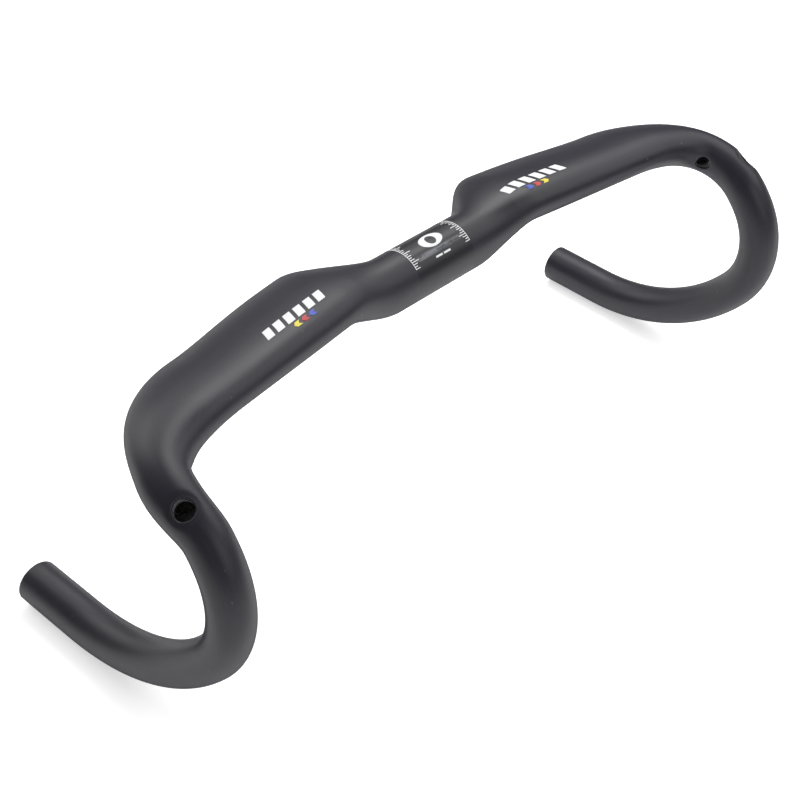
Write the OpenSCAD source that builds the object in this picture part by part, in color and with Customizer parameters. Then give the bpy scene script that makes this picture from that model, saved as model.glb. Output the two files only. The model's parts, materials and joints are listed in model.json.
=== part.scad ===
// Drop handlebar with a flat aero top, internal cable ports and bare grip ends.
// X points to the rider's right, Y forward, Z up. The origin is the centre of the stem clamp zone.

/* [Overall] */
// Distance between the centre planes of the two hooks
width_cc = 440; // [430:1:450]
// Outer diameter of the hooks and grip ends
tube_d = 23.8; // [23.6:0.1:24.2]
// Wall of the hooks and grip ends
tube_wall = 2; // [1.6:0.1:2.4]
// Wall of the flat wings and of the corner bends
skin_wall = 2; // [1.6:0.1:2.2]

/* [Clamp zone] */
// Diameter that the stem grips
clamp_d = 31.8; // [31.6:0.1:32]
// Half length of the round clamp zone
clamp_half = 32; // [30:1:34]
// Bore of the clamp tube, where the bonding sleeve sits
clamp_bore = 25.8; // [25:0.1:26.4]
// Half length of the sleeve that joins both wings to the clamp tube
sleeve_half = 40; // [37:1:41]
// Half width of the gloss film wrapped round the middle
film_half = 22; // [18:0.5:24]
// Thickness of that film
film_t = 0.12; // [0.1:0.01:0.2]
// Height of the printed marks above the film
mark_t = 0.08; // [0.06:0.01:0.1]

/* [Wings] */
// Distance from the centre at which a wing has its full chord
wing_full_x = 77; // [72:1:84]
// Distance from the centre at which a wing ends and the bend begins
wing_end_x = 162; // [158:1:166]
// Front-to-back chord at the inner end of a wing
chord_in = 57; // [54:1:60]
// Front-to-back chord at the outer end
chord_out = 52; // [49:1:55]
// Thickness at the inner end
thick_in = 23; // [21:1:25]
// Thickness at the outer end
thick_out = 21; // [19:1:22]
// How far the wing sits behind the bar's line at its inner end
back_in = 16; // [14:1:18]
// How far it sits behind the line at its outer end
back_out = 14; // [12:1:16]
// How far it sits above the line
rise = 7; // [4:1:8]
// Slope of the wing down towards its rear edge, in degrees
slope = 8; // [0:1:12]
// Forward sweep of the bar's line, in degrees
sweep = 7.5; // [5:0.5:9]
// How much thinner the rear half is than the front half
taper = 0.3; // [0:0.05:0.4]

/* [Bends] */
// Forward distance from the clamp to the start of a hook
hook_y = 68; // [66:1:70]
// Height of the start of a hook
hook_z = -14; // [-16:1:-12]
// Slope of the bar where the hook starts, in degrees below forward
hook_down = 46; // [44:1:48]
// Length of the curve's handle at the wing
bend_lead_in = 57; // [54:1:60]
// Length of the curve's handle at the hook
bend_lead_out = 15; // [12:1:20]
// Width of the section halfway round the bend
bend_width = 27; // [26:1:28]
// Diameter of the outer cable port, where a lever's cable goes in
outer_port_d = 10; // [8:0.5:10]
// Diameter of the inner cable port
inner_port_d = 8; // [6:0.5:8]
// Diameter of the exit port under each wing
exit_port_d = 8; // [6:0.5:8]
// Wall of the rings that line the ports
port_ring_wall = 1.2; // [1:0.1:1.4]

/* [Hooks] */
// How far each hook leans outward towards its grip end, in degrees
flare = 1.5; // [0:0.5:3]
// Radius of the short curve between a bend and its hook
seat_r = 65; // [60:5:80]
// Angle that this curve turns through
seat_angle = 10; // [8:1:12]
// Radius of the front of the hook
front_r = 52; // [48:1:56]
// Angle that the front turns through
front_angle = 70; // [66:1:74]
// Radius of the long lower curve, which turns the bar level
lower_r = 123; // [115:1:130]
// Length of the straight grip end
grip_l = 39; // [36:1:44]
// Wall of the bonding spigots inside the joints
spigot_wall = 1.3; // [1:0.1:1.6]

/* [Hidden] */

$fn = 96;
carbon = [0.15, 0.15, 0.16];
gloss_carbon = [0.10, 0.10, 0.12];
print_white = [0.95, 0.95, 0.95];
bond_grey = [0.45, 0.45, 0.42];
clamp_r = clamp_d / 2;
tube_r = tube_d / 2;
spigot_r = tube_r - tube_wall - 0.2;
sides = 36;
wing_steps = 17;
bend_steps = 10;
top_steps = 7;
seat_steps = 3;
bend_split = 0.6;
bend_spigot_half = 0.05;
spigot_reach = 12;
bond_gap = 0.1;
spigot_turn = 8;
spigot_bend_r = 70;
spigot_back = 8;
exit_x = 60;
outer_port_at = 0.75;
outer_port_turn = 65;
inner_port_at = 0.45;
inner_port_turn = 186;

// ---- Small helpers ----

function unit(v) = v / norm(v);
function mix(a, b, k) = a + (b - a) * k;
function clamp01(k) = max(0, min(1, k));
function ease(k) = let (c = clamp01(k)) c * c * (3 - 2 * c);
function late_ease(k) = let (c = clamp01(k)) c * c * c * (4 - 3 * c);

// ---- Sections of the bar ----
// A section is [centre, direction, width, thickness, back, rise, slope].

function wing_section(x) =
    let (k = ease((x - clamp_half) / (wing_full_x - clamp_half)))
    let (out = late_ease((x - wing_full_x) / (wing_end_x - wing_full_x)))
    let (line_y = tan(sweep) * (x - clamp_half) * k)
    [
        [x, line_y, 0],
        [1, 0, 0],
        mix(clamp_d, mix(chord_in, chord_out, out), k),
        mix(clamp_d, mix(thick_in, thick_out, out), k),
        mix(back_in, back_out, out) * k,
        rise * k,
        slope * k
    ];

wing_end = [wing_end_x, tan(sweep) * (wing_end_x - clamp_half), 0];
hook_start = [width_cc / 2, hook_y, hook_z];
wing_dir = [cos(sweep), sin(sweep), 0];
hook_up = [-sin(flare), 0, cos(flare)];
hook_dir = [0, cos(hook_down), 0] - hook_up * sin(hook_down);
bend_a = wing_end + wing_dir * bend_lead_in;
bend_b = hook_start - hook_dir * bend_lead_out;

function bend_point(s) =
    let (u = 1 - s)
    pow(u, 3) * wing_end + 3 * u * u * s * bend_a + 3 * u * s * s * bend_b + pow(s, 3) * hook_start;

function bend_slope(s) =
    let (u = 1 - s)
    unit(3 * u * u * (bend_a - wing_end) + 6 * u * s * (bend_b - bend_a)
        + 3 * s * s * (hook_start - bend_b));

function bend_section(s) =
    let (first = ease(2 * s), second = ease(2 * s - 1))
    let (fade = 1 - ease(s))
    [
        bend_point(s),
        unit(bend_slope(s) - [0, sin(sweep) * pow(1 - s, 3), 0]),
        s < 0.5 ? mix(chord_out, bend_width, first) : mix(bend_width, tube_d, second),
        s < 0.5 ? mix(thick_out, tube_d, first) : tube_d,
        back_out * fade,
        rise * fade,
        slope * fade
    ];

// The short curve after the bend, where the bar is already a round tube
function seat_section(s) =
    let (stop = arc_end(seat_stop, seat_r, seat_angle * s))
    [
        hook_start + [0, stop[0], 0] + hook_up * stop[1],
        [0, cos(stop[2]), 0] - hook_up * sin(stop[2]),
        tube_d, tube_d, 0, 0, 0
    ];

// Outward and upward directions across a section
function section_up(c) = unit([0, 0, 1] - c[1] * c[1][2]);
function section_out(c) = cross(c[1], section_up(c));
function section_middle(c) = c[0] + section_out(c) * c[4] + section_up(c) * c[5];

// Point on a section at an angle from its rear edge, moved inward by inset
function skin_point(c, angle, inset) =
    let (flat = clamp01((c[2] - c[3]) / 25) * taper)
    let (u = (c[2] / 2 - inset) * cos(angle))
    let (v = (c[3] / 2 - inset) * sin(angle) * (1 - flat * cos(angle)))
    section_middle(c) + section_out(c) * (u * cos(c[6]) + v * sin(c[6]))
        + section_up(c) * (v * cos(c[6]) - u * sin(c[6]));

function ring(c, inset) = [for (i = [0:sides - 1]) skin_point(c, 360 * i / sides, inset)];

// ---- Hollow shell through a list of sections ----

module shell(sections, outer, inner) {
    n = len(sections);
    points = concat(
        [for (c = sections) each ring(c, outer)],
        [for (c = sections) each ring(c, inner)]
    );
    faces = concat(
        [for (k = [0:n - 2], i = [0:sides - 1]) each skin_faces(k, i, 0, false)],
        [for (k = [0:n - 2], i = [0:sides - 1]) each skin_faces(k, i, n * sides, true)],
        [for (i = [0:sides - 1]) each rim_faces(i, 0, n * sides, false)],
        [for (i = [0:sides - 1]) each rim_faces(i, (n - 1) * sides, (2 * n - 1) * sides, true)]
    );
    polyhedron(points, faces);
}

function turned(face, flip) = flip ? [face[0], face[2], face[1]] : face;

function skin_faces(k, i, start, flip) =
    let (j = (i + 1) % sides)
    let (a = start + k * sides + i, b = start + k * sides + j, c = a + sides, d = b + sides)
    [turned([a, b, c], flip), turned([b, d, c], flip)];

function rim_faces(i, start, inner, flip) =
    let (j = (i + 1) % sides)
    [turned([start + i, inner + i, start + j], flip), turned([start + j, inner + i, inner + j], flip)];

// ---- Placing ----

module on_side(side) {
    if (side == "left") mirror([1, 0, 0]) children();
    else children();
}

// Puts the Z axis of its children on a line through a point
module along(point, direction) {
    d = unit(direction);
    translate(point) rotate([0, acos(d[2]), atan2(d[1], d[0])]) children();
}

// Puts the Z axis of its children along X
module along_x() {
    rotate([0, 90, 0]) children();
}

module pipe(length, outer, inner) {
    difference() {
        cylinder(h = length, r = outer);
        translate([0, 0, -1]) cylinder(h = length + 2, r = inner);
    }
}

// ---- Clamp zone ----

module clamp_tube() {
    color(carbon) along_x() difference() {
        translate([0, 0, -clamp_half]) cylinder(h = 2 * clamp_half, r = clamp_r);
        translate([0, 0, -clamp_half - 1]) cylinder(h = 2 * clamp_half + 2, d = clamp_bore);
        translate([0, 0, -film_half]) pipe(2 * film_half, clamp_r + 1, clamp_r - film_t);
    }
}

module clamp_sleeve() {
    outer = clamp_bore / 2;
    color(bond_grey) along_x() translate([0, 0, -sleeve_half]) pipe(2 * sleeve_half, outer, outer - 1.5);
}

module clamp_film() {
    color(gloss_carbon) along_x() translate([0, 0, -film_half])
        pipe(2 * film_half, clamp_r, clamp_r - film_t);
}

// A printed mark on the film: from x0 to x1, and between two angles forward of straight up
module print_strip(x0, x1, from, to) {
    translate([x0, 0, 0]) rotate([0, 90, 0]) rotate([0, 0, 180 - to])
        rotate_extrude(angle = to - from) translate([clamp_r, 0]) square([mark_t, x1 - x0]);
}

// The scale shows how far the bar is turned in its stem
scale_first = -45;
scale_step = 5;
scale_count = 19;
module angle_scale(side) {
    edge = film_half - 0.3;
    last = scale_first + scale_step * (scale_count - 1);
    color(print_white) on_side(side) {
        print_strip(edge - 0.35, edge, scale_first - 1, last + 1);
        for (i = [0:scale_count - 1]) {
            at = scale_first + scale_step * i;
            long = i % 5 == 0 ? 5 : (i % 2 == 0 ? 3 : 2);
            print_strip(edge - 0.35 - long, edge - 0.36, at - 0.8, at + 0.8);
        }
    }
}

badge_turn = 5;
module oval(wide, deep) {
    polygon([for (i = [0:47]) [wide / 2 * cos(7.5 * i), deep / 2 * sin(7.5 * i)]]);
}

module on_film_top(height) {
    intersection() {
        along_x() translate([0, 0, -film_half]) pipe(2 * film_half, clamp_r + height, clamp_r);
        rotate([-badge_turn, 0, 0]) linear_extrude(height = clamp_r + 2) children();
    }
}

module centre_badge() {
    color(print_white) on_film_top(mark_t) difference() {
        oval(16.5, 9.6);
        circle(d = 6.6);
    }
}

module badge_ring() {
    color(gloss_carbon) on_film_top(mark_t) difference() {
        circle(d = 6.4);
        circle(d = 3.4);
    }
}

module index_bars() {
    color(print_white) {
        print_strip(0, 5.2, 41, 45);
        print_strip(-6.2, -1, 41, 45);
    }
}

// ---- Wings ----

module wing(side) {
    cuts = [for (i = [0:wing_steps]) mix(clamp_half, wing_end_x, i / wing_steps)];
    color(carbon) on_side(side) difference() {
        shell([for (x = cuts) wing_section(x)], 0, skin_wall);
        exit_port_place() translate([0, 0, 5]) cylinder(h = 30, d = exit_port_d + 2 * port_ring_wall);
    }
}

module exit_port_place() {
    c = wing_section(exit_x);
    along(section_middle(c), [0, 0, -1]) children();
}

module exit_grommet(side) {
    c = wing_section(exit_x);
    color(carbon) on_side(side) exit_port_place()
        translate([0, 0, c[3] / 2 - 2.6]) pipe(3.4, exit_port_d / 2 + port_ring_wall, exit_port_d / 2);
}

// Closed sleeve inside the wing's outer end and the first part of the bend
module wing_spigot(side) {
    inside = [for (x = [wing_end_x - spigot_reach:4:wing_end_x]) wing_section(x)];
    beyond = [for (s = [0.06, 0.12]) bend_section(s)];
    color(bond_grey) on_side(side)
        shell(concat(inside, beyond), skin_wall + bond_gap, skin_wall + bond_gap + spigot_wall);
}

// ---- Bends ----

module port_place(at, turn) {
    c = bend_section(at);
    along(section_middle(c), section_out(c) * cos(turn) + section_up(c) * sin(turn)) children();
}

// The bend proper, with the inner port
module bend(side) {
    color(carbon) on_side(side) difference() {
        shell([for (i = [0:bend_steps]) bend_section(bend_split * i / bend_steps)], 0, skin_wall);
        port_place(inner_port_at, inner_port_turn)
            translate([0, 0, 6]) cylinder(h = 20, d = inner_port_d + 2 * port_ring_wall);
    }
}

// Closed sleeve inside the joint between a bend and its hook's top
module bend_spigot(side) {
    cuts = [for (k = [-1:1]) bend_section(bend_split + bend_spigot_half * k)];
    color(bond_grey) on_side(side)
        shell(cuts, skin_wall + bond_gap, skin_wall + bond_gap + spigot_wall);
}

// The round top of the hook, with the outer port and the short curve that leads into the front
module hook_top(side) {
    bent = [for (i = [0:top_steps]) bend_section(mix(bend_split, 1, i / top_steps))];
    seat = [for (i = [1:seat_steps]) seat_section(i / seat_steps)];
    color(carbon) on_side(side) difference() {
        shell(concat(bent, seat), 0, skin_wall);
        port_place(outer_port_at, outer_port_turn)
            translate([0, 0, 6]) cylinder(h = 20, d = outer_port_d + 2 * port_ring_wall);
    }
}

module outer_port_ring(side) {
    color(gloss_carbon) on_side(side) port_place(outer_port_at, outer_port_turn)
        translate([0, 0, tube_r - 3.9]) pipe(2.5, outer_port_d / 2 + port_ring_wall, outer_port_d / 2);
}

module inner_port_ring(side) {
    color(gloss_carbon) on_side(side) port_place(inner_port_at, inner_port_turn)
        translate([0, 0, bend_width / 2 - 3.4])
            pipe(2.5, inner_port_d / 2 + port_ring_wall, inner_port_d / 2);
}

// ---- Hooks ----
// A stop is a point in the hook's plane, from where the hook starts: [y, z, degrees below forward].

function arc_centre(stop, r) = [stop[0] - r * sin(stop[2]), stop[1] - r * cos(stop[2])];
function arc_end(stop, r, turn) =
    let (c = arc_centre(stop, r), a = stop[2] + turn)
    [c[0] + r * sin(a), c[1] + r * cos(a), a];

seat_stop = [0, 0, hook_down];
front_stop = arc_end(seat_stop, seat_r, seat_angle);
lower_stop = arc_end(front_stop, front_r, front_angle);
lower_angle = 180 - lower_stop[2];
grip_stop = arc_end(lower_stop, lower_r, lower_angle);

module hook_plane() {
    translate(hook_start) rotate([0, -flare, 0]) children();
}

// Part of a bent tube in the hook's plane, starting at a stop and turning down and back
module bent_pipe(stop, r, turn, outer, inner) {
    c = arc_centre(stop, r);
    hook_plane() translate([0, c[0], c[1]]) rotate([0, -90, 0]) rotate([0, 0, stop[2]])
        rotate_extrude(angle = turn) translate([r, 0]) difference() {
            circle(r = outer);
            circle(r = inner);
        }
}

module hook_front(side) {
    color(carbon) on_side(side) bent_pipe(front_stop, front_r, front_angle, tube_r, tube_r - tube_wall);
}

module hook_lower(side) {
    color(carbon) on_side(side) bent_pipe(lower_stop, lower_r, lower_angle, tube_r, tube_r - tube_wall);
}

// Spigots are short tubes bonded half into one piece and half into the next
module hook_spigot(side) {
    start = arc_end(front_stop, front_r, -spigot_turn);
    color(bond_grey) on_side(side)
        bent_pipe(start, front_r, 2 * spigot_turn, spigot_r, spigot_r - spigot_wall);
}

module lower_spigot(side) {
    start = arc_end(lower_stop, spigot_bend_r, -spigot_turn);
    color(bond_grey) on_side(side)
        bent_pipe(start, spigot_bend_r, 2 * spigot_turn, spigot_r, spigot_r - spigot_wall);
}

module grip_spigot(side) {
    color(bond_grey) on_side(side) grip_place()
        translate([0, 0, -spigot_back])
            pipe(spigot_back + spigot_reach, spigot_r, spigot_r - spigot_wall);
}

module grip_place() {
    hook_plane() translate([0, grip_stop[0], grip_stop[1]]) rotate([90, 0, 0]) children();
}

module grip_end(side) {
    color(carbon) on_side(side) grip_place() difference() {
        rotate_extrude() grip_profile();
        translate([0, 0, -1]) cylinder(h = grip_l + 2, r = tube_r - tube_wall);
        translate([0, 0, -1]) cylinder(h = spigot_reach + 1.5, r = tube_r - tube_wall + 0.3);
    }
}

// Square-cut end with a slightly rounded outer edge
module grip_profile() {
    edge = 0.8;
    square([tube_r - edge, grip_l]);
    square([tube_r, grip_l - edge]);
    translate([tube_r - edge, grip_l - edge]) circle(r = edge, $fn = 32);
}

// ---- Printed marks on the wings ----

mark_lift = 0.05;
mark_depth = 0.12;

// A slanted patch that follows the wing's top, from x0 to x1 and between two angles
module wing_patch(x0, x1, low, high, slant) {
    nx = 2;
    na = 3;
    function place(i, j, lift) =
        skin_point(wing_section(mix(x0, x1, i / nx) + slant * j / na), mix(low, high, j / na), -lift);
    grid = [for (lift = [mark_lift, mark_lift + mark_depth], i = [0:nx], j = [0:na]) place(i, j, lift)];
    row = na + 1;
    layer = (nx + 1) * row;
    tiles = [for (i = [0:nx - 1], j = [0:na - 1]) each patch_tile(i * row + j, row, layer)];
    rim_j = [for (j = [0:na - 1]) each concat(
        patch_wall(j, j + 1, layer), patch_wall(nx * row + j + 1, nx * row + j, layer))];
    rim_i = [for (i = [0:nx - 1]) each concat(
        patch_wall((i + 1) * row, i * row, layer), patch_wall(i * row + na, (i + 1) * row + na, layer))];
    polyhedron(grid, concat(tiles, rim_j, rim_i));
}

function patch_tile(a, row, layer) = [
    [a, a + row, a + 1],
    [a + 1, a + row, a + row + 1],
    [a + layer, a + layer + 1, a + layer + row],
    [a + layer + 1, a + layer + row + 1, a + layer + row]
];

function patch_wall(a, b, layer) = [[a, b, a + layer], [b, b + layer, a + layer]];

stripe_low = 109;
stripe_high = 124;
chevron_low = 127;
chevron_high = 135;

function stripes_start(side) = side == "left" ? 62 : 82;

module wing_stripes(side) {
    color(print_white) on_side(side) for (i = [0:5]) {
        x = stripes_start(side) + 8 * i;
        wing_patch(x, x + 5.4, stripe_low, stripe_high, 2);
    }
}

// Two slanted halves that point outward
module chevron(side, place, paint) {
    x = stripes_start(side) + 13 + 6 * place;
    middle = (chevron_low + chevron_high) / 2;
    color(paint) on_side(side) {
        wing_patch(x, x + 3.4, chevron_low, middle, 1.6);
        wing_patch(x + 1.6, x + 5, middle, chevron_high, -1.6);
    }
}

// ---- The assembly ----

clamp_tube();
clamp_sleeve();
clamp_film();
centre_badge();
badge_ring();
index_bars();
angle_scale("right");  // angle_scale_right
angle_scale("left");  // angle_scale_left
wing("right");  // wing_right
wing("left");  // wing_left
wing_spigot("right");  // wing_spigot_right
wing_spigot("left");  // wing_spigot_left
bend("right");  // bend_right
bend("left");  // bend_left
bend_spigot("right");  // bend_spigot_right
bend_spigot("left");  // bend_spigot_left
hook_top("right");  // hook_top_right
hook_top("left");  // hook_top_left
hook_spigot("right");  // hook_spigot_right
hook_spigot("left");  // hook_spigot_left
hook_front("right");  // hook_front_right
hook_front("left");  // hook_front_left
lower_spigot("right");  // lower_spigot_right
lower_spigot("left");  // lower_spigot_left
hook_lower("right");  // hook_lower_right
hook_lower("left");  // hook_lower_left
grip_spigot("right");  // grip_spigot_right
grip_spigot("left");  // grip_spigot_left
grip_end("right");  // grip_end_right
grip_end("left");  // grip_end_left
outer_port_ring("right");  // outer_port_ring_right
outer_port_ring("left");  // outer_port_ring_left
inner_port_ring("right");  // inner_port_ring_right
inner_port_ring("left");  // inner_port_ring_left
exit_grommet("right");  // exit_grommet_right
exit_grommet("left");  // exit_grommet_left
wing_stripes("right");  // wing_stripes_right
wing_stripes("left");  // wing_stripes_left
chevron("right", 2, "gold");  // yellow_chevron_right
chevron("left", 2, "gold");  // yellow_chevron_left
chevron("right", 1, "firebrick");  // red_chevron_right
chevron("left", 1, "firebrick");  // red_chevron_left
chevron("right", 0, "royalblue");  // blue_chevron_right
chevron("left", 0, "royalblue");  // blue_chevron_left
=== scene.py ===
"""Looks of the drop handlebar: moulded skins, soft-edged cable ports, printed marks and studio light."""
import json
import math
from collections import namedtuple

import bmesh
import bpy
import numpy as np
from mathutils import Matrix, Vector


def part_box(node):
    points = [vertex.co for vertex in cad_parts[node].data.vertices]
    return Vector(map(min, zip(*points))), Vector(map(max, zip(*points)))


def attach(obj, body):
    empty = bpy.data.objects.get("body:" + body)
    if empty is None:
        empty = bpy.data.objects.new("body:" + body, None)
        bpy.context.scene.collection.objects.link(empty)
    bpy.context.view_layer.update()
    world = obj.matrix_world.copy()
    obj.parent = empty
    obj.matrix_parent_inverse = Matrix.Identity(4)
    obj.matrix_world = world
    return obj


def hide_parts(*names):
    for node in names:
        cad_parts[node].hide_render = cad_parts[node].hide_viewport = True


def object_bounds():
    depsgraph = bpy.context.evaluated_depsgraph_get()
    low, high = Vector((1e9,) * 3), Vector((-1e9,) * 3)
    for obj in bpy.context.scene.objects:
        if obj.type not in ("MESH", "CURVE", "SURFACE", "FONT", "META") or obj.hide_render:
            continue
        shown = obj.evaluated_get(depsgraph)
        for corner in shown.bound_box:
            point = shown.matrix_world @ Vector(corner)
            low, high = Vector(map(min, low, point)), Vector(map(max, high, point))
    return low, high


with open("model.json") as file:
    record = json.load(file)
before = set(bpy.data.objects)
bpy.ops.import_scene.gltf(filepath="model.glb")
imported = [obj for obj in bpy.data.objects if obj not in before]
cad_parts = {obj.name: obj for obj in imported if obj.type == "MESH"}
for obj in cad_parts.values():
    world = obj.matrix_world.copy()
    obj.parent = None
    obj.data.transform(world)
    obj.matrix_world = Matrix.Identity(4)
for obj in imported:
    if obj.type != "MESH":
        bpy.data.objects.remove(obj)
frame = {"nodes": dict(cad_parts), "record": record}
cad_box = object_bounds()
MM = 0.001
mounts = {m["name"]: m for m in frame["record"]["mounts"]}

# ---- The bar's dimensions, as in the CAD source, in metres and radians ----

CLAMP_R = mounts["stem_clamp"]["dims"]["r_mm"] * MM
CLAMP_HALF = mounts["stem_clamp"]["dims"]["length_mm"] * MM / 2
CLAMP_BORE_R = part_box("clamp_sleeve")[1].z
FILM_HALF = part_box("clamp_film")[1].x
FILM_THICK = 0.12 * MM
TUBE_R = mounts["grip_seat_right"]["dims"]["r_mm"] * MM
BORE_R = mounts["bar_end_right"]["dims"]["r_mm"] * MM
WALL = TUBE_R - BORE_R

WING_FULL_X = 77 * MM
WING_END_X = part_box("wing_right")[1].x
CHORD_IN, CHORD_OUT = 57 * MM, 52 * MM
THICK_IN, THICK_OUT = 23 * MM, 21 * MM
BACK_IN, BACK_OUT = 16 * MM, 14 * MM
RISE = 7 * MM
SLOPE = math.radians(8)
SWEEP = math.radians(7.5)
TAPER = 0.3
TAPER_RANGE = 25 * MM

HOOK_START = np.array([220 * MM, 68 * MM, -14 * MM])
HOOK_DOWN = math.radians(46)
LEAD_IN, LEAD_OUT = 57 * MM, 15 * MM
BEND_WIDTH = 27 * MM
BEND_SPLIT = 0.6
FLARE = math.radians(1.5)
SEAT_R, SEAT_ANGLE = 65 * MM, math.radians(10)
FRONT_R, FRONT_ANGLE = 52 * MM, math.radians(70)
LOWER_R = 123 * MM
GRIP_LENGTH = 39 * MM
GRIP_SOCKET = 12.5 * MM
GRIP_SOCKET_R = 10.2 * MM
RING_WALL = 1.2 * MM

AROUND = 96
ANGLES = np.arange(AROUND) * 2 * math.pi / AROUND
LIP_AROUND = 72
STEP = 1e-5
NEWTON_STEPS = 12
PATCH_FACING = 0.3
SHARP_ANGLE = math.radians(38)


# ---- Small helpers ----

def unit(v):
    return v / np.linalg.norm(v, axis=-1, keepdims=True)


def mix(a, b, k):
    return a + (b - a) * k


def clamp01(k):
    return np.clip(k, 0.0, 1.0)


def ease(k):
    c = clamp01(k)
    return c * c * (3 - 2 * c)


def late_ease(k):
    c = clamp01(k)
    return c**3 * (4 - 3 * c)


def scaled(vector, numbers):
    return np.asarray(numbers)[..., None] * np.asarray(vector)


# ---- Sections of the bar ----
# middle is the section's centre, out and up span it, and along is the distance along the bar.

Section = namedtuple("Section", "middle out up width thickness slope along")


def section(centre, direction, width, thickness, back, rise, slope, along):
    """A section whose up direction leans as little from straight up as it can."""
    up = unit(np.array([0.0, 0.0, 1.0]) - direction * direction[..., 2:3])
    out = np.cross(direction, up)
    middle = centre + out * np.asarray(back)[..., None] + up * np.asarray(rise)[..., None]
    return Section(middle, out, up, width, thickness, slope, along)


def wing_section(x):
    k = ease((x - CLAMP_HALF) / (WING_FULL_X - CLAMP_HALF))
    far = late_ease((x - WING_FULL_X) / (WING_END_X - WING_FULL_X))
    line_y = math.tan(SWEEP) * (x - CLAMP_HALF) * k
    centre = np.stack([x, line_y, np.zeros_like(x)], -1)
    direction = np.zeros_like(centre) + [1.0, 0.0, 0.0]
    return section(
        centre, direction,
        mix(2 * CLAMP_R, mix(CHORD_IN, CHORD_OUT, far), k),
        mix(2 * CLAMP_R, mix(THICK_IN, THICK_OUT, far), k),
        mix(BACK_IN, BACK_OUT, far) * k, RISE * k, SLOPE * k, x,
    )


FORWARD = np.array([0.0, 1.0, 0.0])
HOOK_UP = np.array([-math.sin(FLARE), 0.0, math.cos(FLARE)])
HOOK_SIDE = np.cross(FORWARD, HOOK_UP)
HOOK_DIR = FORWARD * math.cos(HOOK_DOWN) - HOOK_UP * math.sin(HOOK_DOWN)
WING_END = np.array([WING_END_X, math.tan(SWEEP) * (WING_END_X - CLAMP_HALF), 0.0])
BEND_A = WING_END + np.array([math.cos(SWEEP), math.sin(SWEEP), 0.0]) * LEAD_IN
BEND_B = HOOK_START - HOOK_DIR * LEAD_OUT
BEND_LENGTH = 87 * MM


def bend_section(s):
    s = np.asarray(s, float)
    u = 1 - s
    centre = scaled(WING_END, u**3) + scaled(BEND_A, 3 * u * u * s)
    centre = centre + scaled(BEND_B, 3 * u * s * s) + scaled(HOOK_START, s**3)
    tangent = unit(scaled(BEND_A - WING_END, u * u) + scaled(BEND_B - BEND_A, 2 * u * s)
                   + scaled(HOOK_START - BEND_B, s * s))
    direction = unit(tangent - scaled(FORWARD * math.sin(SWEEP), u**3))
    first, second, fade = ease(2 * s), ease(2 * s - 1), 1 - ease(s)
    width = np.where(s < 0.5, mix(CHORD_OUT, BEND_WIDTH, first), mix(BEND_WIDTH, 2 * TUBE_R, second))
    thickness = mix(THICK_OUT, 2 * TUBE_R, first)
    return section(centre, direction, width, thickness, BACK_OUT * fade, RISE * fade, SLOPE * fade,
                   WING_END_X + BEND_LENGTH * s)


# A stop is a point in the hook's plane: (y, z, angle below forward), measured from the hook's start.

def arc_centre(stop, radius):
    return stop[0] - radius * math.sin(stop[2]), stop[1] - radius * math.cos(stop[2])


def arc_end(stop, radius, turn):
    y, z = arc_centre(stop, radius)
    angle = stop[2] + turn
    return y + radius * math.sin(angle), z + radius * math.cos(angle), angle


SEAT_STOP = (0.0, 0.0, HOOK_DOWN)
FRONT_STOP = arc_end(SEAT_STOP, SEAT_R, SEAT_ANGLE)
LOWER_STOP = arc_end(FRONT_STOP, FRONT_R, FRONT_ANGLE)
LOWER_ANGLE = math.pi - LOWER_STOP[2]
GRIP_STOP = arc_end(LOWER_STOP, LOWER_R, LOWER_ANGLE)
SEAT_ALONG = WING_END_X + BEND_LENGTH
FRONT_ALONG = SEAT_ALONG + SEAT_R * SEAT_ANGLE
LOWER_ALONG = FRONT_ALONG + FRONT_R * FRONT_ANGLE
GRIP_ALONG = LOWER_ALONG + LOWER_R * LOWER_ANGLE


def hook_point(y, z):
    return HOOK_START + scaled(FORWARD, y) + scaled(HOOK_UP, z)


def seat_section(turn):
    turn = np.asarray(turn, float)
    y, z = arc_centre(SEAT_STOP, SEAT_R)
    angle = HOOK_DOWN + turn
    centre = hook_point(y + SEAT_R * np.sin(angle), z + SEAT_R * np.cos(angle))
    direction = scaled(FORWARD, np.cos(angle)) - scaled(HOOK_UP, np.sin(angle))
    flat = np.zeros_like(turn)
    return section(centre, direction, flat + 2 * TUBE_R, flat + 2 * TUBE_R, flat, flat, flat,
                   SEAT_ALONG + SEAT_R * turn)


def hook_twist():
    """The angle that makes the rings of the hook's plane line up with the last ring of the seat."""
    last = seat_section(SEAT_ANGLE)
    angle = HOOK_DOWN + SEAT_ANGLE
    direction = FORWARD * math.cos(angle) - HOOK_UP * math.sin(angle)
    up = np.cross(HOOK_SIDE, direction)
    return math.atan2(float(last.out @ up), float(last.out @ HOOK_SIDE))


TWIST = hook_twist()


def round_section(centre, direction, along):
    """A round section in the hook's plane."""
    up = np.cross(HOOK_SIDE, direction)
    side = np.zeros_like(direction) + HOOK_SIDE
    flat = np.zeros(direction.shape[:-1])
    return Section(centre, side * math.cos(TWIST) + up * math.sin(TWIST),
                   up * math.cos(TWIST) - side * math.sin(TWIST),
                   flat + 2 * TUBE_R, flat + 2 * TUBE_R, flat, along)


def arc_section(stop, radius, start):
    y, z = arc_centre(stop, radius)

    def at(turn):
        angle = stop[2] + np.asarray(turn, float)
        centre = hook_point(y + radius * np.sin(angle), z + radius * np.cos(angle))
        direction = scaled(FORWARD, np.cos(angle)) - scaled(HOOK_UP, np.sin(angle))
        return round_section(centre, direction, start + radius * np.asarray(turn, float))
    return at


def grip_section(distance):
    distance = np.asarray(distance, float)
    centre = hook_point(GRIP_STOP[0] - distance, np.full_like(distance, GRIP_STOP[1]))
    return round_section(centre, np.zeros_like(centre) - FORWARD, GRIP_ALONG + distance)


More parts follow.
